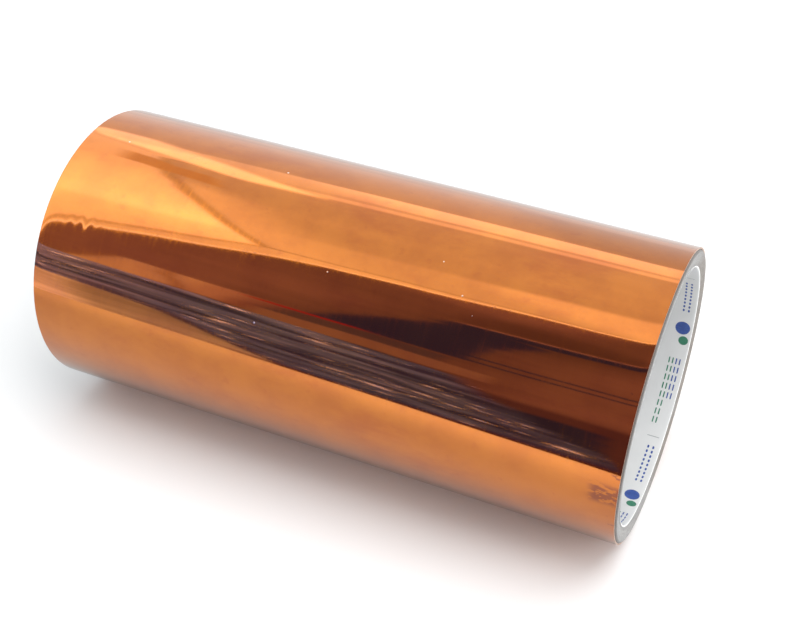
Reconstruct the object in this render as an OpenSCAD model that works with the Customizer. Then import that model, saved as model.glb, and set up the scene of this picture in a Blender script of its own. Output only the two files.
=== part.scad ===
// A roll of copper-coloured mirror tape, lying on its side.
// The roll's axis runs along X, the floor is z = 0, and the origin is under the middle of the roll.
// A laminate of three layers (tinted face film, bright metal foil, adhesive) is wound in a spiral
// on a spiral-wound board core, which has a white printed liner in its bore.
// The tape's loose end is a separate body that peels up about a line on the back of the roll.

/* [Core] */
// Inside diameter of the core, a 3-inch tape core
bore_dia = 76.2; // [25.4:0.1:152.4]
// Length of the core, end to end
core_length = 184.8; // [50:0.1:600]
// Thickness of the white printed liner that faces the bore
liner_thickness = 0.5; // [0.3:0.1:1]
// How many grey board plies are wound over the liner
board_plies = 8; // [4:1:12]
// Thickness of one board ply
board_ply_thickness = 0.6; // [0.4:0.05:1]
// Radius of the worn outer edge at each end of the core
core_edge_radius = 0.7; // [0.1:0.1:2]
// How far each end of the core goes in, from its flat outer land to the bore
end_dish = 0.95; // [0:0.05:2]
// Width of the flat outer land on each end of the core
end_land = 1.1; // [0.5:0.1:3]

/* [Tape] */
// How far the tape's edge stands in from the end of the core
tape_inset = 0.5; // [0:0.05:3]
// Thickness of the tinted face film, the outer layer of the tape
face_film_thickness = 0.04; // [0.03:0.005:0.1]
// Thickness of the bright metal foil under the face film
foil_thickness = 0.03; // [0.02:0.005:0.1]
// Thickness of the adhesive, the inner layer of the tape
adhesive_thickness = 0.03; // [0.02:0.005:0.1]
// How many turns of tape are on the core, without the loose end
turns = 5; // [2:1:8]

/* [Loose end] */
// Where the loose end starts, in degrees from the top of the roll towards its back
peel_angle = 52; // [30:1:70]
// How far round the roll the loose end reaches, in degrees
tail_arc = 36; // [15:1:50]
// Gap along the roll between the wound tape and the loose end
tail_slit = 0.15; // [0.1:0.05:0.5]
// Height of the loose end above the turn under it
tail_lift = 0.05; // [0.02:0.01:0.3]
// Radius of the loose end's two corners
tail_corner_radius = 3; // [1:0.5:8]

/* [Hidden] */
// Straight facets in one turn of the spiral, with one facet flat on the floor
facets = 96;
facet_angle = 360 / facets;
round_facets = 128;

bore_r = bore_dia / 2;
liner_r = bore_r + liner_thickness;
core_r = liner_r + board_plies * board_ply_thickness;
tape_thickness = adhesive_thickness + foil_thickness + face_film_thickness;
tape_width = core_length - 2 * tape_inset;

// The spiral is wound through this many degrees and then goes on as the loose end
wound_angle = turns * 360;
start_angle = peel_angle - wound_angle;
// The roll stands on the turn that passes under it before the loose end
floor_turns = turns - (360 + peel_angle - 180) / 360;
axis_z = core_r + (floor_turns + 1) * tape_thickness;

// Turns a shape drawn with x to the back, y up and z along the roll into the roll's own frame.
module along_roll() {
    translate([0, 0, axis_z])
        rotate([90, 0, 90])
            children();
}

// A closed ring about the roll's axis, from a profile of [radius, distance along the roll].
module ring(profile) {
    along_roll()
        rotate_extrude($fn = round_facets)
            polygon(profile);
}

// How far the core's worn edge has gone back from its end at radius r.
function edge_loss(r) =
    let (into_edge = r - (core_r - core_edge_radius))
    into_edge <= 0 ? 0 : core_edge_radius - sqrt(max(0, pow(core_edge_radius, 2) - pow(into_edge, 2)));

// How far the core's dished end has gone in at radius r.
function dish_loss(r) =
    let (land_r = core_r - core_edge_radius - end_land)
    end_dish * max(0, land_r - r) / (land_r - bore_r);

// The end of a ply from its inner to its outer radius, as points [radius, distance along the roll].
function ply_end(inner, outer, steps = 6) =
    [for (i = [0 : steps])
        let (r = inner + (outer - inner) * i / steps)
        [r, core_length / 2 - edge_loss(r) - dish_loss(r)]];

// The points of an outline in reverse order.
function reversed(points) = [for (i = [len(points) - 1 : -1 : 0]) points[i]];

// One ply of the core: a tube whose ends follow the core's dished end and worn edge.
module ply(inner, outer) {
    far_end = ply_end(inner, outer);
    near_end = [for (p = reversed(far_end)) [p[0], -p[1]]];
    ring(concat(far_end, near_end));
}

// Radius of a tape layer's inner face, after the strip has been wound through an angle.
function wound_r(layer, wound) = core_r + layer + tape_thickness * wound / 360;

// A point on a facet whose middle is at radius r, at an angle from the top towards the back.
function on_facet(r, angle) =
    let (middle = round(angle / facet_angle) * facet_angle)
    let (out = r / cos(angle - middle))
    [out * sin(angle), out * cos(angle)];

// Facet corners from one angle to another, on the grid that puts a facet flat on the floor.
function corner_angles(from, to) =
    let (first = ceil((from - facet_angle / 2) / facet_angle + 0.01))
    let (last = floor((to - facet_angle / 2) / facet_angle - 0.01))
    concat([from], [for (i = [first : last]) (i + 0.5) * facet_angle], [to]);

// One side of a wound layer, raised by lift from the spiral.
function layer_side(layer, from, to, lift = 0) =
    [for (angle = corner_angles(from, to))
        on_facet(wound_r(layer, angle - start_angle) + lift, angle)];

// Cross section of a wound layer between two angles.
module layer_section(layer, thickness, from, to, lift = 0) {
    polygon(concat(
        layer_side(layer + thickness, from, to, lift),
        reversed(layer_side(layer, from, to, lift))
    ));
}

// A layer of the tape that is wound on the core.
module wound_layer(layer, thickness) {
    along_roll()
        translate([0, 0, -tape_width / 2])
            linear_extrude(height = tape_width)
                layer_section(layer, thickness, start_angle, peel_angle);
}

tail_from = peel_angle + tail_slit / core_r * 180 / PI;
tail_to = peel_angle + tail_arc;

// What stays of the loose end between its two round corners: a sheet seen from outside the roll,
// with x along the roll and y from the middle of the roll towards the free edge.
module tail_outline() {
    reach = core_r * sin(tail_arc / 2) * 2;
    hull() {
        translate([-tape_width / 2, -reach])
            square([tape_width, reach]);
        for (side = [-1, 1])
            translate([side * (tape_width / 2 - tail_corner_radius), reach / 2 - tail_corner_radius])
                circle(r = tail_corner_radius, $fn = 48);
    }
}

// A layer of the tape's loose end.
module tail_layer(layer, thickness) {
    middle = peel_angle + tail_arc / 2;
    intersection() {
        along_roll()
            translate([0, 0, -tape_width / 2])
                linear_extrude(height = tape_width)
                    layer_section(layer, thickness, tail_from, tail_to, tail_lift);
        translate([0, 0, axis_z])
            rotate([-middle, 0, 0])
                linear_extrude(height = core_r * 2)
                    tail_outline();
    }
}

module core_liner_ply() {
    color("whitesmoke")
        ply(bore_r, liner_r);
}

module core_board_ply(number) {
    inner = liner_r + (number - 1) * board_ply_thickness;
    color("darkgray")
        ply(inner, inner + board_ply_thickness);
}

module tape_adhesive() {
    color("tan")
        wound_layer(0, adhesive_thickness);
}

module tape_foil() {
    color("silver")
        wound_layer(adhesive_thickness, foil_thickness);
}

module tape_face_film() {
    color("chocolate")
        wound_layer(adhesive_thickness + foil_thickness, face_film_thickness);
}

module tail_adhesive() {
    color("tan")
        tail_layer(0, adhesive_thickness);
}

module tail_foil() {
    color("silver")
        tail_layer(adhesive_thickness, foil_thickness);
}

module tail_face_film() {
    color("chocolate")
        tail_layer(adhesive_thickness + foil_thickness, face_film_thickness);
}

core_liner_ply();
for (k = [1 : board_plies])
    core_board_ply(k);
tape_adhesive();
tape_foil();
tape_face_film();
tail_adhesive();
tail_foil();
tail_face_film();
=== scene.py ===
"""Looks of a roll of copper-coloured mirror tape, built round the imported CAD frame.

The roll lies on its side with its axis along X, and the floor is z = 0. The layers of the tape, its loose
end and the printed liner are meshes that stand for their CAD nodes. The board plies of the core are the CAD
nodes with a board material. The studio is a white light tent with an open front and a dark room before it.
"""

import math
from collections import namedtuple

import bpy
import numpy as np
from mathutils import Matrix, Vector

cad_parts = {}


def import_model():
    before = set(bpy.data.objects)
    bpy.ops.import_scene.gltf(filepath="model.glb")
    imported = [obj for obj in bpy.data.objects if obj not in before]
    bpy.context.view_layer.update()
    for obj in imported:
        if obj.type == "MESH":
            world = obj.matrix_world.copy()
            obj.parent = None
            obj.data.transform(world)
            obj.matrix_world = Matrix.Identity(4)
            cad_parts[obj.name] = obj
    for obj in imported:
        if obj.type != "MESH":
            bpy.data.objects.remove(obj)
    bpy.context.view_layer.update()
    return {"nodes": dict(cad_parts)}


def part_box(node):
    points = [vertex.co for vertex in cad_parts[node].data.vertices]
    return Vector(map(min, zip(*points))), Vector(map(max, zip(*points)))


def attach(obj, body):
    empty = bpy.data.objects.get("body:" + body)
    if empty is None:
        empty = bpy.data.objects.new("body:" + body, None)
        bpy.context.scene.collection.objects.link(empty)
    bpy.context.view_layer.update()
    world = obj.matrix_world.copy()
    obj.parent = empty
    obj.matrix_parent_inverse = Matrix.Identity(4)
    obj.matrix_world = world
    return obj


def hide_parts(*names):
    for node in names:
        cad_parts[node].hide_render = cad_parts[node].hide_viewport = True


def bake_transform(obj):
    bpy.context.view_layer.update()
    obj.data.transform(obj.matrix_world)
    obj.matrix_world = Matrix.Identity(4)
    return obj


MM = 0.001

# Camera: its place, and the angles round and above the roll that it looks along, in degrees.
CAMERA_PLACE = (0.1359, -0.2829, 0.3009)
CAMERA_AZIMUTH = 23.98
CAMERA_ELEVATION = 39.58
CAMERA_LENS = 59.3
SENSOR_WIDTH = 36.0

# The tape's layers, from the core outwards. Angles go from the top of the roll towards its back.
ROLL_RADIUS = 44 * MM
CORE_RADIUS = 43.4 * MM
BORE_RADIUS = 38.1 * MM
LINER = 0.5 * MM
# How far the liner stands out of the board's dished end, and how much shorter it is on its bore side.
LINER_PROUD = 0.35 * MM
LINER_BEVEL = 0.1 * MM
ADHESIVE = 0.03 * MM
FOIL = 0.03 * MM
FACE_FILM = 0.04 * MM
TAPE = ADHESIVE + FOIL + FACE_FILM
TURNS = 5
PEEL_ANGLE = 52.0
START_ANGLE = PEEL_ANGLE - 360 * TURNS
# The wound tape is drawn up to here, and the loose end goes on from it.
JOIN_ANGLE = 50.0
TAIL_END_ANGLE = 88.0
TAIL_LIFT = 0.05 * MM
TAIL_CORNER = 3 * MM
# Air under the outermost film, which lets it ripple without touching the foil.
FILM_AIR = 0.04 * MM

# The floor and the table reach this far from the roll. The table ends before the roll, along a slanted line.
STAGE_REACH = 4.0
TABLE_FRONT = -184.8 * MM
TABLE_SLOPE = 0.2824
TABLE_HEIGHT = 0.01 * MM

# The studio is drawn in directions from the roll, in degrees: azimuth round from the front, positive to the
# right, and elevation above the floor. Edges are curves through (azimuth, elevation).
TENT_SEAM = [
    (-136, 44.5), (-129, 50.3), (-118, 56.3), (-109, 59.3), (-91, 62.2), (-77, 62.3), (-64, 61), (-54, 59),
]
CLOTH_FOOT = [
    (-40, 3.4), (-33, 2.2), (-30.5, 0.6), (-29, -1.8), (-27.5, -5.2), (-26, -9.4), (-24.4, -14), (-22, -21),
]
TABLE_EDGE = [(-34, -11.5), (-30.7, -13.9), (-25.4, -15.7), (-19.7, -18.7), (-13.3, -21.2), (-8.2, -23.2)]
# The open front's side edges are curves through (elevation, azimuth), and its top edges are great circles.
OPEN_SIDE = [(20, -39.4), (31, -41.9), (45, -44.3), (57, -46.4), (66, -48.2)]
OPEN_TOP = (-3.0, 5.6, 1.0)
STITCHED_SIDE = [(20, -40.6), (35, -44.2), (44, -47), (50, -49), (56, -51.9), (62, -55.8)]
STITCHED_TOP = (-1.53, 4.96, 1.0)
# Brightness by azimuth or elevation.
SIDE_WALL_GLOW = [
    (-138, 1.45), (-128, 1.5), (-112, 1.85), (-98, 2.1), (-86, 2.3), (-72, 2.55), (-62, 2.1), (-45, 1.8),
]
LIGHT_STRIP_GLOW = [(-172, 1.65), (-160, 2.05), (-153, 1.7), (-147, 1.35), (-142, 1.45)]
ROOM_ACROSS = [(-40, 0.31), (-33, 0.3), (-27, 0.22), (-20, 0.19), (-14, 0.22), (-8, 0.27), (20, 0.25)]
ROOM_UPWARDS = [(20, 1), (42, 1), (50, 0.9), (57, 0.75), (64, 1), (70, 1.1)]
PALE_FLOOR_UPWARDS = [(-14, 0.62), (-8, 0.5), (-3, 0.42), (3, 0.62)]

# A direction's azimuth and elevation, and the same with ragged edges.
Sight = namedtuple("Sight", "azimuth elevation ragged_azimuth ragged_elevation")


class Nodes:
    """A node tree with one short call for each kind of node."""

    def __init__(self, tree):
        self.tree = tree
        tree.nodes.clear()

    def node(self, kind, **settings):
        made = self.tree.nodes.new(kind)
        for name, value in settings.items():
            setattr(made, name, value)
        return made

    def feed(self, socket, value):
        if isinstance(value, bpy.types.NodeSocket):
            self.tree.links.new(value, socket)
        else:
            socket.default_value = value

    def math(self, operation, a, b=0.0):
        made = self.node("ShaderNodeMath", operation=operation)
        self.feed(made.inputs[0], a)
        self.feed(made.inputs[1], b)
        return made.outputs[0]

    def add(self, a, b):
        return self.math("ADD", a, b)

    def times(self, *factors):
        product = factors[0]
        for factor in factors[1:]:
            product = self.math("MULTIPLY", product, factor)
        return product

    def line(self, x, x0, slope, start=0.0):
        """start at x0, rising by slope for each unit of x."""
        return self.add(self.times(self.add(x, -x0), slope), start)

    def step(self, value, low, high):
        """0 at low, 1 at high, and smooth between. Falls where low is above high."""
        made = self.node("ShaderNodeMapRange", interpolation_type="SMOOTHSTEP")
        self.feed(made.inputs["Value"], value)
        made.inputs["From Min"].default_value = min(low, high)
        made.inputs["From Max"].default_value = max(low, high)
        made.inputs["To Min"].default_value = 0.0 if low < high else 1.0
        made.inputs["To Max"].default_value = 1.0 if low < high else 0.0
        return made.outputs["Result"]

    def window(self, value, low, high, soft):
        """1 between low and high, 0 outside, with edges 2 * soft wide."""
        rise = self.step(value, low - soft, low + soft)
        fall = self.step(value, high + soft, high - soft)
        return self.times(rise, fall)

    def curve(self, value, points):
        """Smooth curve through points (x, y), level outside them."""
        x0, x1 = points[0][0], points[-1][0]
        y0, y1 = min(y for _, y in points), max(y for _, y in points)
        made = self.node("ShaderNodeFloatCurve")
        made.mapping.extend = "HORIZONTAL"
        curve = made.mapping.curves[0]
        for number, (x, y) in enumerate(points):
            place = ((x - x0) / (x1 - x0), (y - y0) / (y1 - y0))
            if number < 2:
                curve.points[number].location = place
            else:
                curve.points.new(*place)
        made.mapping.update()
        self.feed(made.inputs["Value"], self.times(self.add(value, -x0), 1 / (x1 - x0)))
        return self.line(made.outputs[0], 0.0, y1 - y0, y0)

    def above(self, value, x, points):
        """How far value is above the curve through points, at x."""
        return self.add(value, self.times(self.curve(x, points), -1.0))

    def mix(self, share, below, above):
        """Colour below where share is 0 and above where it is 1."""
        made = self.node("ShaderNodeMix", data_type="RGBA")
        self.feed(made.inputs[0], share)
        self.feed(made.inputs[6], below)
        self.feed(made.inputs[7], above)
        return made.outputs[2]

    def noise(self, vector, scale, detail=2.0, roughness=0.5):
        made = self.node("ShaderNodeTexNoise")
        self.feed(made.inputs["Vector"], vector)
        made.inputs["Scale"].default_value = scale
        made.inputs["Detail"].default_value = detail
        made.inputs["Roughness"].default_value = roughness
        return made.outputs["Fac"]

    def scaled(self, vector, scale):
        made = self.node("ShaderNodeVectorMath", operation="MULTIPLY")
        self.feed(made.inputs[0], vector)
        made.inputs[1].default_value = scale
        return made.outputs[0]

    def dot(self, vector, normal):
        made = self.node("ShaderNodeVectorMath", operation="DOT_PRODUCT")
        self.feed(made.inputs[0], vector)
        made.inputs[1].default_value = Vector(normal).normalized()
        return made.outputs["Value"]

    def parts(self, vector):
        made = self.node("ShaderNodeSeparateXYZ")
        self.feed(made.inputs[0], vector)
        return made.outputs

    def joined(self, x, y, z):
        made = self.node("ShaderNodeCombineXYZ")
        for socket, value in zip(made.inputs, (x, y, z)):
            self.feed(socket, value)
        return made.outputs[0]

    def bump(self, height, distance, strength=1.0):
        made = self.node("ShaderNodeBump")
        made.inputs["Strength"].default_value = strength
        made.inputs["Distance"].default_value = distance
        self.feed(made.inputs["Height"], height)
        return made.outputs["Normal"]


def grey(level):
    return (level, level, level, 1.0)


def colour(red, green, blue):
    return (red, green, blue, 1.0)


def new_material(name):
    material = bpy.data.materials.new(name)
    material.use_nodes = True
    return material, Nodes(material.node_tree)


# ---------------------------------------------------------------- studio


def make_camera():
    data = bpy.data.cameras.new("camera")
    data.lens = CAMERA_LENS
    data.sensor_width = SENSOR_WIDTH
    camera = bpy.data.objects.new("camera", data)
    bpy.context.collection.objects.link(camera)
    camera.location = CAMERA_PLACE
    azimuth = math.radians(CAMERA_AZIMUTH)
    elevation = math.radians(CAMERA_ELEVATION)
    forward = Vector((
        -math.sin(azimuth) * math.cos(elevation),
        math.cos(azimuth) * math.cos(elevation),
        -math.sin(elevation),
    ))
    camera.rotation_mode = "QUATERNION"
    camera.rotation_quaternion = forward.to_track_quat("-Z", "Y")
    bpy.context.scene.camera = camera


def azimuth_of(n, x, y):
    """Degrees round from the front (0), positive to the right."""
    return n.times(n.math("ARCTAN2", x, n.times(y, -1.0)), 180 / math.pi)


def tent_side(n, wall, cloth, direction, azimuth, elevation):
    """The side wall under its seam, lit from outside and brightest towards the front, with a stain."""
    over_seam = n.above(elevation, azimuth, TENT_SEAM)
    at_side = n.step(azimuth, -139.0, -136.0)
    glow = n.curve(azimuth, SIDE_WALL_GLOW)
    glow = n.times(glow, n.line(cloth, 0.5, 0.25, 1.0), n.line(n.step(over_seam, -9.0, 0.0), 0.0, 0.12, 0.94))
    halo = n.times(n.step(over_seam, 6.5, 0.5), at_side, n.step(azimuth, -128.0, -112.0))
    wall = n.mix(halo, wall, grey(1.42))
    wall = n.mix(n.times(n.step(over_seam, 0.3, -0.3), at_side), wall, n.joined(glow, glow, glow))
    stitches = n.times(n.window(over_seam, -0.35, 0.5, 0.25), at_side, 0.9)
    wall = n.mix(stitches, wall, grey(0.72))
    ragged = n.add(azimuth, n.times(n.add(n.noise(direction, 14.0, 4.0, 0.65), -0.5), 7.0))
    stain = n.times(n.window(ragged, -132.5, -125.0, 0.8), n.window(over_seam, -2.4, 3.4, 0.8), 0.9)
    return n.mix(stain, wall, colour(0.92, 0.74, 0.5))


def tent_back(n, wall, azimuth, elevation):
    """The wall behind: dim low down, then a light strip, a dark and a light fold, and a bright corner."""
    behind = n.step(azimuth, -138.0, -142.0)
    low_wall = n.mix(n.step(azimuth, -162.0, -169.0), grey(0.95), grey(0.78))
    wall = n.mix(n.times(n.step(elevation, 33.5, 31.0), behind), wall, low_wall)
    strip = n.curve(azimuth, LIGHT_STRIP_GLOW)
    wall = n.mix(n.times(n.window(elevation, 32.5, 42.4, 0.8), behind), wall, n.joined(strip, strip, strip))
    for low, high, soft, level in ((44.2, 47.5, 0.8, 1.62), (42.6, 44.0, 0.4, 1.25)):
        fold = n.times(n.window(elevation, low, high, soft), behind)
        wall = n.mix(fold, wall, grey(level))
    corner = n.times(n.window(azimuth, -144.5, -138.2, 1.2), n.window(elevation, 29.0, 48.0, 1.5))
    return n.mix(corner, wall, n.mix(n.step(elevation, 34.0, 38.0), grey(1.95), grey(2.5)))


def tent_wall(n, direction, azimuth, elevation):
    """The tent's white cloth, with a brighter panel over the open front."""
    cloth = n.noise(direction, 3.0, 3.0)
    x, y, _ = n.parts(direction)
    wall = n.mix(n.step(cloth, 0.3, 0.7), grey(0.94), grey(1.06))
    behind_panel = n.add(y, n.times(x, -0.45))
    panel = n.mix(n.step(elevation, 72.0, 78.0), grey(1.16), grey(1.5))
    wall = n.mix(n.step(behind_panel, 0.13, 0.07), wall, panel)
    wall = tent_side(n, wall, cloth, direction, azimuth, elevation)
    return tent_back(n, wall, azimuth, elevation)


def inside_line(n, direction, azimuth, elevation, side, top):
    """Degrees inside a line round the open front, from its side edge and its top edge."""
    past_side = n.times(n.above(azimuth, elevation, side), 0.7)
    under_top = n.times(n.dot(direction, top), -180 / math.pi)
    return n.math("MINIMUM", past_side, under_top)


def tent_border(n, wall, in_stitches, in_opening):
    """The hem round the open front: a stitched line, plain cloth and a bright edge."""
    wall = n.mix(n.step(in_stitches, -0.1, 0.3), wall, grey(1.4))
    wall = n.mix(n.times(n.window(in_stitches, -0.45, 0.35, 0.2), 0.85), wall, grey(0.8))
    return n.mix(n.times(n.window(in_opening, -0.65, -0.05, 0.15), 0.9), wall, grey(2.3))


def warm(level, green=0.68, blue=1.0):
    """A colour given by its red, with its green and blue as shares of that."""
    return colour(level, level * green, level * blue)


def black_frame(n, room, sight):
    """A top bar with a light line on it, a post and two thin rails."""
    azimuth, elevation, ragged_azimuth, ragged_elevation = sight
    black = colour(0.045, 0.052, 0.23)
    bar = n.add(elevation, n.line(azimuth, -25.8, -0.46, -51.2))
    room = n.mix(n.times(n.window(bar, -3.3, 0.0, 0.25), n.step(ragged_azimuth, -26.5, -25.5)), room, black)
    lit_top = n.times(n.window(bar, 0.1, 0.9, 0.2), n.step(ragged_azimuth, -26.5, -25.0))
    room = n.mix(lit_top, room, warm(0.42, 0.7))
    past_post = n.add(ragged_azimuth, n.line(elevation, 48.0, 0.065, 18.4))
    post_sides = n.times(n.step(ragged_azimuth, -25.6, -24.9), n.step(past_post, 0.4, -0.3))
    room = n.mix(n.times(post_sides, n.window(ragged_elevation, 27.6, 50.0, 0.4)), room, black)
    for height, left in ((27.9, -25.0), (31.1, -19.0)):
        rail = n.add(elevation, n.line(azimuth, -17.4, -0.21, -height))
        shown = n.times(n.window(rail, 0.0, 0.9, 0.2), n.step(azimuth, left - 0.5, left + 0.5), 0.9)
        room = n.mix(shown, room, black)
    return room


def pale_shelf(n, room, sight):
    """A shelf, brightest at its left end, with a dark gap and a dim ledge beside it and a thin red light."""
    azimuth, elevation, ragged_azimuth, ragged_elevation = sight
    tone = n.mix(n.step(ragged_azimuth, -31.6, -29.2), colour(0.78, 0.66, 0.7), colour(0.55, 0.4, 0.5))
    tone = n.mix(n.step(ragged_azimuth, -28.6, -26.2), tone, warm(0.28, 0.6))
    fold = n.add(ragged_azimuth, n.times(n.add(elevation, -23.0), 0.25))
    tone = n.mix(n.times(n.window(fold, -31.6, -31.0, 0.2), 0.7), tone, warm(0.3))
    shelf = n.times(n.window(ragged_azimuth, -34.4, -25.6, 0.3), n.window(ragged_elevation, 17.8, 27.6, 0.35))
    room = n.mix(shelf, room, tone)
    gap = n.times(n.window(ragged_azimuth, -26.0, -17.5, 0.6), n.window(ragged_elevation, 21.6, 26.6, 0.6))
    room = n.mix(gap, room, warm(0.12, 0.9, 1.9))
    ledge = n.times(n.window(ragged_azimuth, -26.0, -14.6, 0.3), n.window(ragged_elevation, 16.0, 21.8, 0.3))
    room = n.mix(ledge, room, warm(0.32, 0.75))
    red_light = n.times(n.window(azimuth, -27.8, -22.4, 0.8), n.window(elevation, 26.6, 27.5, 0.2))
    return n.mix(red_light, room, colour(0.42, 0.02, 0.07))


def long_noise(n, sight, across, upwards, place, detail, roughness):
    """Noise stretched along the cloth's folds, which fall to the right."""
    along = n.add(sight.elevation, n.times(sight.azimuth, 0.35))
    vector = n.joined(n.times(sight.azimuth, across), n.times(along, upwards), place)
    return n.noise(vector, 1.0, detail, roughness)


def room_floor(n, room, sight, streaks):
    """Dark floor with a black shape on the right, and pale floor on the left."""
    azimuth, elevation, ragged_azimuth, ragged_elevation = sight
    dark = n.mix(n.step(elevation, 11.5, 8.0), warm(0.25), warm(0.12, 0.6, 1.2))
    shape = n.times(n.window(ragged_azimuth, -12.6, -8.2, 0.5), n.window(ragged_elevation, -12.5, 3.6, 1.2))
    dark = n.mix(shape, dark, colour(0.038, 0.045, 0.2))
    room = n.mix(n.step(elevation, 13.0, 11.5), room, dark)
    level = n.curve(elevation, PALE_FLOOR_UPWARDS)
    brighter_left = n.line(n.step(azimuth, -31.0, -33.5), 0.0, 1.3, 0.95)
    level = n.times(level, n.line(streaks, 0.5, 1.4, 1.0), brighter_left)
    pale = n.joined(level, n.times(level, 1.06), n.times(level, 1.4))
    return n.mix(n.times(n.step(elevation, 4.0, 2.0), n.step(azimuth, -19.0, -22.0)), room, pale)


def draped_cloth(n, room, sight, streaks):
    """Blue-grey cloth with long folds and a few glints."""
    azimuth, _, ragged_azimuth, ragged_elevation = sight
    over_top = n.add(ragged_elevation, n.line(ragged_azimuth, -33.0, 0.19, -18.2))
    past_right = n.add(ragged_azimuth, n.line(ragged_elevation, 15.6, 0.27, 16.0))
    over_foot = n.above(ragged_elevation, azimuth, CLOTH_FOOT)
    cloth = n.times(n.step(over_top, 0.3, -0.3), n.step(past_right, 1.0, -1.0), n.step(over_foot, -0.4, 0.4))
    folds = long_noise(n, sight, 0.09, 0.24, 0.0, 5.0, 0.6)
    tone = n.mix(n.step(folds, 0.4, 0.58), colour(0.055, 0.085, 0.36), colour(0.17, 0.28, 1.05))
    tone = n.mix(n.times(n.step(streaks, 0.55, 0.66), 0.75), tone, colour(0.34, 0.47, 1.55))
    tone = n.mix(n.times(n.step(streaks, 0.47, 0.38), 0.8), tone, colour(0.045, 0.05, 0.28))
    pale_left = n.times(n.step(azimuth, -27.0, -32.0), 0.45, n.step(streaks, 0.4, 0.6))
    tone = n.mix(pale_left, tone, colour(0.54, 0.64, 1.9))
    tone = n.mix(n.times(n.step(azimuth, -18.0, -13.0), 0.55), tone, colour(0.05, 0.06, 0.25))
    glints = long_noise(n, sight, 0.45, 1.5, 3.0, 2.0, 0.5)
    tone = n.mix(n.step(glints, 0.665, 0.70), tone, colour(2.8, 3.2, 6.0))
    shaded_foot = n.times(n.step(over_foot, 5.0, 0.8), n.step(azimuth, -34.0, -30.0), 0.85)
    tone = n.mix(shaded_foot, tone, colour(0.07, 0.055, 0.25))
    return n.mix(cloth, room, tone)


def table_rim(n, room, sight):
    """Dark red line where the table ends."""
    over_table = n.above(sight.elevation, sight.azimuth, TABLE_EDGE)
    rim = n.times(n.step(over_table, 1.6, 0.9), n.step(sight.azimuth, -30.0, -22.0), 0.75)
    return n.mix(rim, room, colour(0.1, 0.02, 0.07))


def dark_room(n, direction, azimuth, elevation):
    """The unlit room before the tent: a brown wall with furniture, a draped cloth and the table's rim."""
    wobble = n.add(n.noise(direction, 9.0, 4.0, 0.6), -0.5)
    raggedness = n.times(wobble, 1.6)
    sight = Sight(azimuth, elevation, n.add(azimuth, raggedness), n.add(elevation, raggedness))
    level = n.times(n.curve(azimuth, ROOM_ACROSS), n.curve(elevation, ROOM_UPWARDS))
    level = n.times(level, n.line(wobble, 0.0, 0.5, 1.0))
    room = n.joined(level, n.times(level, 0.68), level)
    room = black_frame(n, room, sight)
    room = pale_shelf(n, room, sight)
    streaks = long_noise(n, sight, 0.15, 0.4, 5.0, 4.0, 0.58)
    room = room_floor(n, room, sight, streaks)
    room = draped_cloth(n, room, sight, streaks)
    return table_rim(n, room, sight)


def make_sky():
    """The light tent and the dark room, as the film reflects them, and plain light for everything else."""
    world = bpy.data.worlds.new("studio")
    bpy.context.scene.world = world
    world.use_nodes = True
    n = Nodes(world.node_tree)
    direction = n.node("ShaderNodeTexCoord").outputs["Generated"]
    x, y, z = n.parts(direction)
    elevation = n.times(n.math("ARCSINE", z), 180 / math.pi)
    # Both sides of the tent are alike, so its walls are drawn for the left side and mirrored
    mirrored_x = n.times(n.math("ABSOLUTE", x), -1.0)
    mirrored = n.joined(mirrored_x, y, z)
    mirrored_azimuth = azimuth_of(n, mirrored_x, y)
    in_opening = inside_line(n, mirrored, mirrored_azimuth, elevation, OPEN_SIDE, OPEN_TOP)
    in_stitches = inside_line(n, mirrored, mirrored_azimuth, elevation, STITCHED_SIDE, STITCHED_TOP)
    wall = tent_wall(n, mirrored, mirrored_azimuth, elevation)
    wall = tent_border(n, wall, in_stitches, in_opening)
    room = dark_room(n, direction, azimuth_of(n, x, y), elevation)
    sky = n.mix(n.step(in_opening, -0.12, 0.12), wall, room)

    # What lights the floor and the matt parts is a smooth sky, without the tent's detail
    rays = n.node("ShaderNodeLightPath")
    soft = n.line(n.math("MAXIMUM", z, 0.0), 0.0, 0.35, 0.35)
    soft_light = n.joined(n.times(soft, 0.97), soft, n.times(soft, 1.02))
    shown = n.mix(rays.outputs["Is Diffuse Ray"], sky, soft_light)
    shown = n.mix(rays.outputs["Is Camera Ray"], shown, grey(1.1))
    shade = n.node("ShaderNodeBackground")
    n.feed(shade.inputs["Color"], shown)
    output = n.node("ShaderNodeOutputWorld")
    n.feed(output.inputs["Surface"], shade.outputs[0])


def flat_sheet(name, corners, height, level, glow=0.0):
    """A flat matt sheet for the stage, and its material's colour socket with the node tree."""
    mesh = bpy.data.meshes.new(name)
    mesh.from_pydata([(x, y, height) for x, y in corners], [], [(0, 1, 2, 3)])
    sheet = bpy.data.objects.new(name, mesh)
    bpy.context.collection.objects.link(sheet)
    material, n = new_material(name)
    shader = n.node("ShaderNodeBsdfPrincipled")
    shader.inputs["Base Color"].default_value = grey(level)
    shader.inputs["Roughness"].default_value = 1.0
    shader.inputs["Specular IOR Level"].default_value = 0.0
    shader.inputs["Emission Color"].default_value = grey(1.0)
    shader.inputs["Emission Strength"].default_value = glow
    output = n.node("ShaderNodeOutputMaterial")
    n.feed(output.inputs["Surface"], shader.outputs[0])
    mesh.materials.append(material)
    return sheet, n, shader.inputs["Base Color"]


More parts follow.
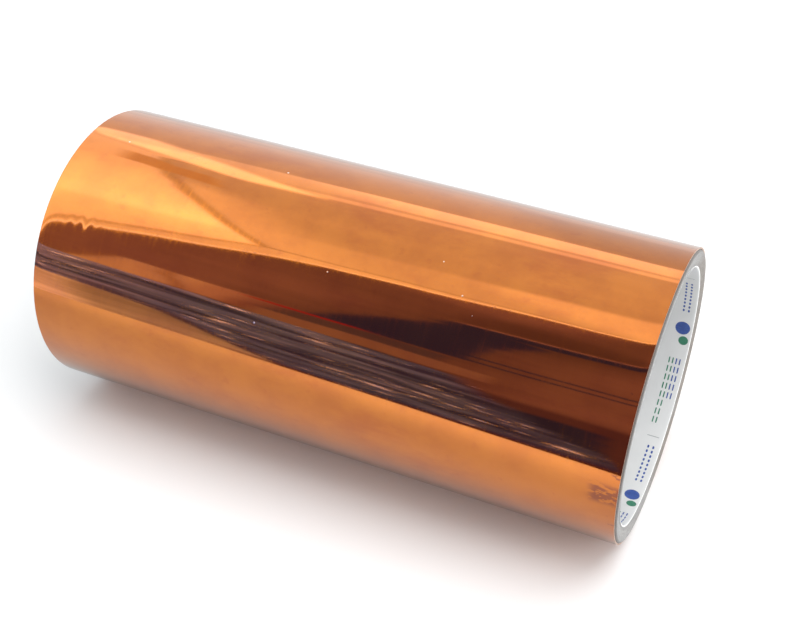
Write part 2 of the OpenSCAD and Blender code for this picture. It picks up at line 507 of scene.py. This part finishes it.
def make_floor():
    """A wide floor that the camera sees, and a table that only shows in reflections."""
    far = STAGE_REACH
    everywhere = [(-far, -far), (far, -far), (far, far), (-far, far)]
    floor, _, _ = flat_sheet("floor", everywhere, 0.0, 0.95)
    floor.visible_glossy = False
    turn = TABLE_SLOPE * far
    before = [(-far, TABLE_FRONT - turn), (far, TABLE_FRONT + turn), (far, 0.0), (-far, 0.0)]
    behind = [(-far, 0.0), (far, 0.0), (far, far), (-far, far)]
    table, n, tint = flat_sheet("reflected_table", before, TABLE_HEIGHT, 0.7)
    far_table, _, _ = flat_sheet("reflected_table_behind", behind, TABLE_HEIGHT, 0.0, glow=0.87)
    for sheet in (table, far_table):
        sheet.visible_camera = False
        sheet.visible_diffuse = False
        sheet.visible_shadow = False
    # Painted light: the table's colour is lighter near its front edge, most of all on the right
    x, y, _ = n.parts(n.node("ShaderNodeTexCoord").outputs["Object"])
    from_edge = n.add(n.add(y, n.times(x, -TABLE_SLOPE)), -TABLE_FRONT)
    across = n.line(n.step(x, -0.11, 0.03), 0.0, 0.45, 0.55)
    n.feed(tint, n.mix(n.times(n.step(from_edge, 0.09, 0.015), across), grey(0.64), grey(1.0)))


def area_light(name, place, aim, size, power):
    data = bpy.data.lights.new(name, "AREA")
    data.shape = "RECTANGLE"
    data.size, data.size_y = size
    data.energy = power
    light = bpy.data.objects.new(name, data)
    bpy.context.collection.objects.link(light)
    light.location = place
    light.rotation_mode = "QUATERNION"
    light.rotation_quaternion = (Vector(aim) - Vector(place)).to_track_quat("-Z", "Y")
    light.visible_glossy = False
    light.visible_camera = False


def make_lights():
    area_light("top_light", (0.3, -0.06, 1.2), (0, 0, 0), (1.0, 0.95), 11.0)
    area_light("right_light", (1.2, -0.2, 0.6), (0.09, 0, 0.04), (0.8, 0.8), 5.0)


# ---------------------------------------------------------------- materials


def roll_coordinates(n, axis_height):
    """Metres along the roll, round it and out from its axis, and the angle in degrees."""
    place = n.node("ShaderNodeTexCoord").outputs["Object"]
    x, y, z = n.parts(place)
    up = n.add(z, -axis_height)
    angle = n.math("ARCTAN2", y, up)
    out = n.math("SQRT", n.add(n.times(y, y), n.times(up, up)))
    return x, n.times(angle, ROLL_RADIUS), out, n.times(angle, 180 / math.pi)


def finish_material(n, shader, normal=None):
    if normal is not None:
        n.feed(shader.inputs["Normal"], normal)
    output = n.node("ShaderNodeOutputMaterial")
    n.feed(output.inputs["Surface"], shader.outputs[0])


def film_material(axis_height, right_end):
    """Copper-tinted film over bright metal: a mirror with a clear glossy face, dust and handling marks."""
    material, n = new_material("copper_mirror_film")
    x, arc, out, angle = roll_coordinates(n, axis_height)
    face = n.joined(x, arc, 0.0)
    cloudy = n.step(n.noise(face, 60.0, 4.0, 0.6), 0.35, 0.7)
    tint = n.mix(cloudy, colour(0.68, 0.195, 0.008), colour(0.59, 0.155, 0.004))
    stains = n.step(n.noise(n.scaled(face, (22.0, 55.0, 1.0)), 1.0, 6.0, 0.66), 0.5, 0.72)
    tint = n.mix(n.times(stains, 0.75), tint, colour(0.53, 0.115, 0.003))
    spots = n.step(n.noise(face, 210.0, 3.0, 0.55), 0.62, 0.72)
    tint = n.mix(n.times(spots, 0.35), tint, colour(0.54, 0.12, 0.003))
    # Reddish smudge and nicks by the right end, low on the front
    edge = n.add(x, -right_end)
    smear = n.noise(n.scaled(face, (230.0, 480.0, 1.0)), 1.0, 3.0, 0.6)
    smudge = n.times(n.window(edge, -0.0075, 0.001, 0.0015), n.window(angle, -93.0, -84.5, 1.6))
    nicks = n.times(n.window(edge, -0.0022, 0.001, 0.0008), n.window(angle, -112.0, -40.0, 6.0))
    dirty = n.add(n.times(smudge, n.step(smear, 0.44, 0.5)), n.times(nicks, n.step(smear, 0.6, 0.64)))
    tint = n.mix(n.times(n.math("MINIMUM", dirty, 1.0), 0.75), tint, colour(0.22, 0.035, 0.012))
    # Dust: sparse pale specks
    cells = n.node("ShaderNodeTexVoronoi")
    n.feed(cells.inputs["Vector"], face)
    cells.inputs["Scale"].default_value = 230.0
    chosen = n.step(n.parts(cells.outputs["Color"])[0], 0.95, 0.955)
    speck = n.times(n.step(cells.outputs["Distance"], 0.075, 0.04), chosen)
    tint = n.mix(speck, tint, colour(0.95, 0.8, 0.7))
    # Rubbing marks that run round the roll
    rubs = n.noise(n.scaled(face, (900.0, 45.0, 1.0)), 1.0, 3.0, 0.6)
    shader = n.node("ShaderNodeBsdfPrincipled")
    shader.inputs["Metallic"].default_value = 1.0
    shader.inputs["Coat Weight"].default_value = 0.9
    shader.inputs["Coat Roughness"].default_value = 0.03
    shader.inputs["Coat IOR"].default_value = 1.6
    n.feed(shader.inputs["Base Color"], tint)
    rough = n.add(n.times(n.step(rubs, 0.45, 0.8), 0.05), 0.055)
    n.feed(shader.inputs["Roughness"], n.math("MAXIMUM", rough, n.times(speck, 0.5)))
    relief = n.add(n.times(n.noise(face, 420.0, 3.0), 0.5), n.times(speck, 3.0))
    finish_material(n, shader, n.bump(relief, 0.000004))
    return material


def cut_edge_material():
    """The slit edge of the tape: pinkish cream, with fine lines where the turns meet."""
    material, n = new_material("tape_cut_edge")
    place = n.node("ShaderNodeTexCoord").outputs["Object"]
    fine = n.noise(place, 900.0, 3.0, 0.6)
    shader = n.node("ShaderNodeBsdfPrincipled")
    tone = n.mix(fine, colour(0.42, 0.26, 0.19), colour(0.72, 0.52, 0.43))
    n.feed(shader.inputs["Base Color"], tone)
    shader.inputs["Roughness"].default_value = 0.45
    finish_material(n, shader, n.bump(fine, 0.00002))
    return material


def foil_material():
    """Bright rolled foil with fine rolling lines along the tape."""
    material, n = new_material("bright_copper_foil")
    place = n.node("ShaderNodeTexCoord").outputs["Object"]
    lines = n.noise(n.scaled(place, (1500.0, 60.0, 60.0)), 1.0, 3.0, 0.6)
    shader = n.node("ShaderNodeBsdfPrincipled")
    shader.inputs["Metallic"].default_value = 1.0
    tone = n.mix(lines, colour(0.80, 0.50, 0.34), colour(0.92, 0.66, 0.50))
    n.feed(shader.inputs["Base Color"], tone)
    n.feed(shader.inputs["Roughness"], n.add(n.times(lines, 0.15), 0.2))
    finish_material(n, shader, n.bump(lines, 0.000004))
    return material


def adhesive_material():
    """Clear tacky adhesive that shows the foil through it, with small bubbles."""
    material, n = new_material("clear_adhesive_coat")
    place = n.node("ShaderNodeTexCoord").outputs["Object"]
    haze = n.noise(place, 140.0, 4.0, 0.6)
    bubbles = n.node("ShaderNodeTexVoronoi")
    n.feed(bubbles.inputs["Vector"], place)
    bubbles.inputs["Scale"].default_value = 900.0
    bubble = n.step(bubbles.outputs["Distance"], 0.16, 0.08)
    shader = n.node("ShaderNodeBsdfPrincipled")
    shader.inputs["Metallic"].default_value = 0.75
    shader.inputs["Coat Weight"].default_value = 0.7
    shader.inputs["Coat Roughness"].default_value = 0.22
    tone = n.mix(haze, colour(0.60, 0.46, 0.34), colour(0.74, 0.60, 0.46))
    n.feed(shader.inputs["Base Color"], n.mix(n.times(bubble, 0.5), tone, colour(0.85, 0.78, 0.68)))
    n.feed(shader.inputs["Roughness"], n.add(n.times(haze, 0.2), 0.28))
    finish_material(n, shader, n.bump(n.add(haze, bubble), 0.00001))
    return material


def board_material(name, axis_height, tone, corner_dirt_and_shade):
    """Grey recycled board seen on its cut end: fibres run round the roll, browner and darker over the back
    half.
    """
    material, n = new_material(name)
    x, arc, out, angle = roll_coordinates(n, axis_height)
    cut_face = n.joined(n.times(x, 900.0), n.times(arc, 260.0), n.times(out, 2600.0))
    fibres = n.noise(cut_face, 1.0, 5.0, 0.65)
    flecks = n.noise(n.joined(x, arc, out), 1500.0, 2.0, 0.5)
    patches = n.noise(n.joined(x, arc, out), 120.0, 3.0, 0.6)
    light = colour(tone * 1.22, tone * 1.18, tone * 1.14)
    dark = colour(tone * 0.78, tone * 0.75, tone * 0.72)
    base = n.mix(n.step(fibres, 0.3, 0.7), dark, light)
    # Browner and darker over the back half, in patches
    back = n.times(n.window(angle, 40.0, 172.0, 12.0), n.step(patches, 0.2, 0.5))
    brown = n.mix(n.step(fibres, 0.3, 0.7), colour(0.125, 0.10, 0.08), colour(0.235, 0.195, 0.155))
    base = n.mix(n.times(back, 0.75), base, brown)
    base = n.mix(n.times(n.step(flecks, 0.64, 0.7), 0.6), base, colour(0.12, 0.09, 0.07))
    # Handling dirt and painted shade on the worn outer corner: darker along its outer rim and where the film
    # meets it
    corner = n.step(n.add(out, n.times(patches, 0.0004)), 0.0427, 0.0432)
    base = n.mix(n.times(corner, corner_dirt_and_shade), base, colour(0.13, 0.115, 0.105))
    shader = n.node("ShaderNodeBsdfPrincipled")
    n.feed(shader.inputs["Base Color"], base)
    shader.inputs["Roughness"].default_value = 0.85
    shader.inputs["Sheen Weight"].default_value = 0.25
    relief = n.add(n.times(fibres, 0.7), n.times(flecks, 0.3))
    finish_material(n, shader, n.bump(relief, 0.00012))
    return material


def liner_material():
    """Smooth coated white paper."""
    material, n = new_material("white_liner_paper")
    place = n.node("ShaderNodeTexCoord").outputs["Object"]
    clouds = n.noise(place, 90.0, 4.0, 0.6)
    grain = n.noise(place, 1800.0, 2.0, 0.5)
    shader = n.node("ShaderNodeBsdfPrincipled")
    tone = n.mix(clouds, colour(0.66, 0.665, 0.665), colour(0.74, 0.74, 0.735))
    n.feed(shader.inputs["Base Color"], tone)
    n.feed(shader.inputs["Roughness"], n.add(n.times(grain, 0.15), 0.4))
    shader.inputs["Coat Weight"].default_value = 0.15
    finish_material(n, shader, n.bump(grain, 0.00001))
    return material


def paper_edge_material():
    """The liner's cut edge, bright white with torn fibres."""
    material, n = new_material("white_paper_edge")
    place = n.node("ShaderNodeTexCoord").outputs["Object"]
    fibres = n.noise(place, 1400.0, 4.0, 0.7)
    shader = n.node("ShaderNodeBsdfPrincipled")
    n.feed(shader.inputs["Base Color"], n.mix(fibres, colour(0.86, 0.85, 0.83), colour(1.0, 1.0, 1.0)))
    shader.inputs["Roughness"].default_value = 0.9
    finish_material(n, shader, n.bump(fibres, 0.00005))
    return material


def ink_material(name, low, high):
    """Flat printing ink, a little uneven where the paper took it up."""
    material, n = new_material(name)
    place = n.node("ShaderNodeTexCoord").outputs["Object"]
    uneven = n.noise(place, 700.0, 3.0, 0.6)
    shader = n.node("ShaderNodeBsdfPrincipled")
    n.feed(shader.inputs["Base Color"], n.mix(uneven, low, high))
    n.feed(shader.inputs["Roughness"], n.add(n.times(uneven, 0.2), 0.35))
    finish_material(n, shader, n.bump(uneven, 0.000005))
    return material


# ---------------------------------------------------------------- meshes


def ring_points(angle, radius, x, axis_height):
    """Points at angles in degrees from the top towards the back, as one array of x, y, z."""
    turn = np.radians(angle)
    flat = np.broadcast_arrays(x, radius * np.sin(turn), axis_height + radius * np.cos(turn))
    return np.stack(flat, axis=-1)


def quads(a, b, c, d):
    return np.stack([a, b, c, d], axis=-1).reshape(-1, 4)


def sheet_solid(outer, inner):
    """Vertices and faces of a closed sheet between two grids of points, and how many faces each side has.

    The first index of a grid goes round the roll towards the back, and the second along it towards +X."""
    n, m = outer.shape[:2]
    top = np.arange(n * m).reshape(n, m)
    under = top + n * m
    groups = [
        quads(top[:-1, :-1], top[:-1, 1:], top[1:, 1:], top[1:, :-1]),
        quads(under[:-1, :-1], under[1:, :-1], under[1:, 1:], under[:-1, 1:]),
        quads(top[:-1, 0], top[1:, 0], under[1:, 0], under[:-1, 0]),
        quads(top[1:, -1], top[:-1, -1], under[:-1, -1], under[1:, -1]),
        quads(top[0, 1:], top[0, :-1], under[0, :-1], under[0, 1:]),
        quads(top[-1, :-1], top[-1, 1:], under[-1, 1:], under[-1, :-1]),
    ]
    points = np.concatenate([outer.reshape(-1, 3), inner.reshape(-1, 3)])
    return points, groups


def make_piece(name, solids, materials, sharp=30.0):
    """One object from closed sheets. materials is for the outer face, the inner face and the cut edges."""
    points = []
    faces = []
    kinds = []
    count = 0
    for solid_points, groups in solids:
        for number, group in enumerate(groups):
            faces.append(group + count)
            kinds.append(np.full(len(group), min(number, 2)))
        points.append(solid_points)
        count += len(solid_points)
    mesh = bpy.data.meshes.new(name)
    mesh.from_pydata(np.concatenate(points).tolist(), [], np.concatenate(faces).tolist())
    for material in materials:
        mesh.materials.append(material)
    mesh.polygons.foreach_set("material_index", np.concatenate(kinds).astype(np.int32))
    mesh.polygons.foreach_set("use_smooth", np.ones(len(mesh.polygons), dtype=bool))
    mesh.set_sharp_from_angle(angle=math.radians(sharp))
    mesh.update()
    piece = bpy.data.objects.new(name, mesh)
    bpy.context.collection.objects.link(piece)
    return piece


def wound_radius(angle, offset):
    """Radius of the spiral at an angle, at a height above the turn's inner face."""
    return CORE_RADIUS + offset + TAPE * (angle - START_ANGLE) / 360


def smooth(value, low, high):
    t = np.clip((value - low) / (high - low), 0, 1)
    return t * t * (3 - 2 * t)


def film_relief(angle, x, half_width):
    """Height of the outer film's ripples: long soft waves, a puckered patch and edges that sink a little."""
    arc = np.radians(angle) * ROLL_RADIUS
    rng = np.random.default_rng(11)
    relief = np.zeros(np.broadcast(arc, x).shape)
    for _ in range(26):
        length = rng.uniform(24, 90) * MM
        heading = rng.uniform(0, math.tau)
        phase = rng.uniform(0, math.tau)
        steepness = rng.uniform(0.0003, 0.0008)
        along = (x * math.cos(heading) + arc * math.sin(heading)) * math.tau / length
        relief += steepness * length / math.tau * np.sin(along + phase)
    relief = np.clip(relief, -0.03 * MM, 0.06 * MM)
    # Puckers where the film was gripped, near the left end
    pucker = np.exp(-(((x + half_width - 14 * MM) / (5 * MM)) ** 2) - ((angle + 47) / 5) ** 2)
    relief += 0.011 * MM * pucker * np.sin(x / (0.85 * MM)) * np.cos(x / (1.9 * MM))
    edge = np.exp(-(half_width - np.abs(x)) / (1.3 * MM))
    return FILM_AIR + relief - 0.03 * MM * edge


def rows_along(half_width):
    """Places along the roll, close together near the ends."""
    left = np.arange(-half_width, -half_width + 20 * MM, 0.55 * MM)
    right = np.arange(half_width - 8 * MM, half_width - 0.2 * MM, 0.7 * MM)
    middle = np.linspace(left[-1] + 1.2 * MM, right[0] - 1.2 * MM, 122)
    return np.concatenate([left, middle, right, [half_width]])


def wound_turns(offset, thickness, last_angle, half_width, axis_height):
    """The tape layer's hidden turns, as one long strip."""
    angle = np.linspace(START_ANGLE, last_angle, round((last_angle - START_ANGLE) / 1.5) + 1)[:, None]
    x = np.array([-half_width, half_width])[None, :]
    outer = ring_points(angle, wound_radius(angle, offset + thickness), x, axis_height)
    inner = ring_points(angle, wound_radius(angle, offset), x, axis_height)
    return sheet_solid(outer, inner)


def outer_film_turn(half_width, axis_height):
    """The turn of film that shows, with its ripples."""
    first = PEEL_ANGLE - 360
    angle = np.linspace(first, JOIN_ANGLE, 381)[:, None]
    x = rows_along(half_width)[None, :]
    base = wound_radius(angle, ADHESIVE + FOIL)
    relief = film_relief(angle, x, half_width)
    outer = ring_points(angle, base + FACE_FILM + relief, x, axis_height)
    inner = ring_points(angle, base + np.zeros_like(x), x, axis_height)
    return sheet_solid(outer, inner)


def make_wound_tape(axis_height, half_width, materials):
    film, edge, foil, adhesive = materials
    hidden = wound_turns(ADHESIVE + FOIL, FACE_FILM, PEEL_ANGLE - 360, half_width, axis_height)
    shown = outer_film_turn(half_width, axis_height)
    piece = make_piece("wound_face_film", [hidden, shown], [film, film, edge])
    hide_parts("tape_face_film")
    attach(piece, "roll")
    turns = wound_turns(ADHESIVE, FOIL, JOIN_ANGLE, half_width, axis_height)
    piece = make_piece("wound_foil", [turns], [foil, foil, foil])
    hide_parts("tape_foil")
    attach(piece, "roll")
    turns = wound_turns(0.0, ADHESIVE, JOIN_ANGLE, half_width, axis_height)
    piece = make_piece("wound_adhesive", [turns], [adhesive, adhesive, edge])
    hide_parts("tape_adhesive")
    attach(piece, "roll")


def tail_layer(offset, thickness, relief_share, half_width, axis_height):
    """A layer of the loose end, with two round corners and a free edge that lifts slightly."""
    rows_to_edge = np.array([3.0, 2.4, 1.7, 1.1, 0.65, 0.3, 0.1, 0.0]) * MM
    body = np.arange(JOIN_ANGLE, TAIL_END_ANGLE - 4.2, 0.6)
    free_edge = TAIL_END_ANGLE - np.degrees(rows_to_edge / ROLL_RADIUS)
    angle = np.concatenate([body, free_edge])[:, None]
    to_edge = np.radians(TAIL_END_ANGLE - angle) * ROLL_RADIUS
    into_corner = np.clip(TAIL_CORNER - to_edge, 0, TAIL_CORNER)
    half = half_width - TAIL_CORNER + np.sqrt(TAIL_CORNER**2 - into_corner**2)
    share = rows_along(half_width)[None, :] / half_width
    x = share * half
    lift = TAIL_LIFT * smooth(angle, JOIN_ANGLE + 0.5, PEEL_ANGLE + 4)
    lift = lift + 0.12 * MM * np.exp(-to_edge / (1.2 * MM))
    relief = relief_share * film_relief(angle, x, half_width)
    base = wound_radius(angle, offset) + lift
    outer = ring_points(angle, base + thickness + relief, x, axis_height)
    inner = ring_points(angle, base + np.zeros_like(x), x, axis_height)
    return sheet_solid(outer, inner)


def make_loose_end(axis_height, half_width, materials):
    """The loose end goes on from the wound tape, lifting a little off the turn under it around the peel line.
    """
    film, edge, foil, adhesive = materials
    layers = [
        ("loose_face_film", ADHESIVE + FOIL, FACE_FILM, 1.0, [film, film, edge], "copper_tinted_film"),
        ("loose_foil", ADHESIVE, FOIL, 0.0, [foil, foil, foil], "copper_foil"),
        ("loose_adhesive", 0.0, ADHESIVE, 0.0, [adhesive, adhesive, edge], "clear_adhesive"),
    ]
    nodes = ["tail_face_film", "tail_foil", "tail_adhesive"]
    for (name, offset, thickness, relief, surface, slot), node in zip(layers, nodes):
        solid = tail_layer(offset, thickness, relief, half_width, axis_height)
        piece = make_piece(name, [solid], surface)
        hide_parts(node)
        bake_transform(piece)


def make_liner(axis_height, half_length, paper, edge):
    """The liner: one paper strip wound in a helix, with a fine groove where its edges meet."""
    pitch = 150 * MM
    seam_gap = 0.12 * MM
    right_crossing = -75.0
    first = right_crossing - 360 * (2 * half_length + pitch) / pitch
    angle = np.arange(first + 1.0, right_crossing - 0.5, 1.5)[:, None]
    top = half_length + pitch * (angle - right_crossing) / 360
    low = np.clip(top + seam_gap, -half_length, half_length)
    high = np.clip(top + pitch, -half_length, half_length)
    room = high - low
    near_edge = np.array([0.0, 0.12, 0.3, 0.6, 1.2]) * MM
    near = np.minimum(near_edge[None, :], room * np.linspace(0, 0.3, 5)[None, :])
    middle = np.linspace(0, 1, 42)[None, 1:-1]
    from_low = low + near
    to_high = high - near[:, ::-1]
    between = from_low[:, -1:] + (to_high[:, :1] - from_low[:, -1:]) * middle
    x = np.concatenate([from_low, between, to_high], axis=1)
    to_edge = np.minimum(x - low, high - x)
    groove = 0.12 * MM * np.exp(-to_edge / (0.15 * MM))
    outer = ring_points(angle, BORE_RADIUS + LINER + np.zeros_like(x), x, axis_height)
    inner_x = x * (1 - LINER_BEVEL / half_length)
    inner = ring_points(angle, BORE_RADIUS + groove, inner_x, axis_height)
    piece = make_piece("bore_liner", [sheet_solid(outer, inner)], [paper, paper, edge])
    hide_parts("core_liner_ply")
    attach(piece, "roll")


def stadium(half_length, half_width, steps=10):
    """Outline of a bar with round ends; a disc where the two halves are equal."""
    straight = half_length - half_width
    turns = np.linspace(-math.pi / 2, math.pi / 2, steps + 1)
    right = np.stack([straight + half_width * np.cos(turns), half_width * np.sin(turns)], axis=-1)
    return np.concatenate([right, -right])


def print_mark(outline, angle, x, axis_height):
    """A thin printed patch on the bore's wall, as points and faces. The outline runs (round, along) it."""
    rings = np.array([0.0, 0.35, 0.7, 1.0])
    corners = len(outline)
    raised = 0.015 * MM
    points = []
    for share in rings:
        turned = angle + np.degrees(outline[:, 0] * share / BORE_RADIUS)
        points.append(ring_points(turned, BORE_RADIUS - raised, x + outline[:, 1] * share, axis_height))
    faces = []
    for ring in range(1, len(rings)):
        for i in range(corners):
            k = (i + 1) % corners
            inside, outside = (ring - 1) * corners, ring * corners
            if ring == 1:
                faces.append((i, outside + k, outside + i))
            else:
                faces.append((inside + i, inside + k, outside + k, outside + i))
    return np.concatenate(points), faces


def print_layout():
    """Plain marks for each ink, four times round the bore: (outline, angle, distance from the end)."""
    large_disc = stadium(2.3 * MM, 2.3 * MM, 24)
    small_disc = stadium(1.5 * MM, 1.5 * MM, 18)
    bar = stadium(1.0 * MM, 0.2 * MM, 8)
    dot = stadium(0.5 * MM, 0.3 * MM, 8)
    # A thin bar turned to lie along the roll
    line = stadium(1.9 * MM, 0.1 * MM, 8)[:, ::-1] * (1, -1)
    marks = {"blue": [], "green": [], "grey": []}
    for start in (4.0, 94.0, 184.0, 274.0):
        marks["blue"].append((large_disc, start + 2.5, 3.1 * MM))
        marks["green"].append((small_disc, start + 9.0, 2.2 * MM))
        for ink, count, row in (("blue", 5, 2.3 * MM), ("green", 8, 4.5 * MM)):
            for number in range(count):
                for offset in (-0.55 * MM, 0.55 * MM):
                    marks[ink].append((bar, start + 20.0 + number * 4.2, row + offset))
        marks["grey"].append((line, start + 57.5, 3.3 * MM))
        for row in (2.2 * MM, 3.8 * MM):
            for number in range(9):
                marks["blue"].append((dot, start + 63.0 + number * 2.4, row))
    return marks


def make_print(axis_height, half_length):
    """The printed marks on the liner near each end, one piece for each ink."""
    inks = {
        "blue": (colour(0.02, 0.045, 0.22), colour(0.05, 0.12, 0.42)),
        "green": (colour(0.02, 0.13, 0.08), colour(0.05, 0.26, 0.15)),
        "grey": (colour(0.22, 0.24, 0.25), colour(0.34, 0.36, 0.37)),
    }
    marks = print_layout()
    for ink, (low, high) in inks.items():
        points = []
        faces = []
        count = 0
        for end in (1, -1):
            for outline, angle, from_end in marks[ink]:
                patch, patch_faces = print_mark(outline, angle, half_length - from_end, axis_height)
                patch[:, 0] *= end
                for face in patch_faces:
                    order = face if end == 1 else face[::-1]
                    faces.append(tuple(index + count for index in order))
                points.append(patch)
                count += len(patch)
        mesh = bpy.data.meshes.new(f"liner_print_{ink}")
        mesh.from_pydata(np.concatenate(points).tolist(), [], faces)
        mesh.materials.append(ink_material(f"{ink}_ink", low, high))
        mesh.polygons.foreach_set("use_smooth", np.ones(len(mesh.polygons), dtype=bool))
        mesh.update()
        piece = bpy.data.objects.new(f"liner_print_{ink}", mesh)
        bpy.context.collection.objects.link(piece)
        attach(piece, "roll")


def finish_boards(frame, axis_height):
    """Each board ply keeps its CAD shape and gets board of a slightly different grey."""
    # The last, outermost ply is the darkest: partly its own grey, partly painted shade along its outer edge
    # by the film
    tones = [0.28, 0.26, 0.29, 0.27, 0.28, 0.25, 0.26, 0.21]
    for number, tone in enumerate(tones, start=1):
        name = f"core_board_ply_{number}"
        # Only the outermost ply gets dirt and painted shade on its outer corner
        corner_dirt_and_shade = 0.75 if number == len(tones) else 0.0
        material = board_material(f"grey_board_{number}", axis_height, tone, corner_dirt_and_shade)
        board = frame["nodes"][name]
        board.data.materials.clear()
        board.data.materials.append(material)


def main():
    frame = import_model()
    bpy.context.scene.view_settings.view_transform = "Standard"
    make_camera()
    make_sky()
    make_floor()
    make_lights()
    low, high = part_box("core_liner_ply")
    axis_height = (low.z + high.z) / 2
    half_length = high.x + LINER_PROUD
    half_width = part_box("tape_foil")[1].x
    tape = (
        film_material(axis_height, half_width),
        cut_edge_material(),
        foil_material(),
        adhesive_material(),
    )
    make_wound_tape(axis_height, half_width, tape)
    make_loose_end(axis_height, half_width, tape)
    make_liner(axis_height, half_length, liner_material(), paper_edge_material())
    make_print(axis_height, half_length)
    finish_boards(frame, axis_height)


main()
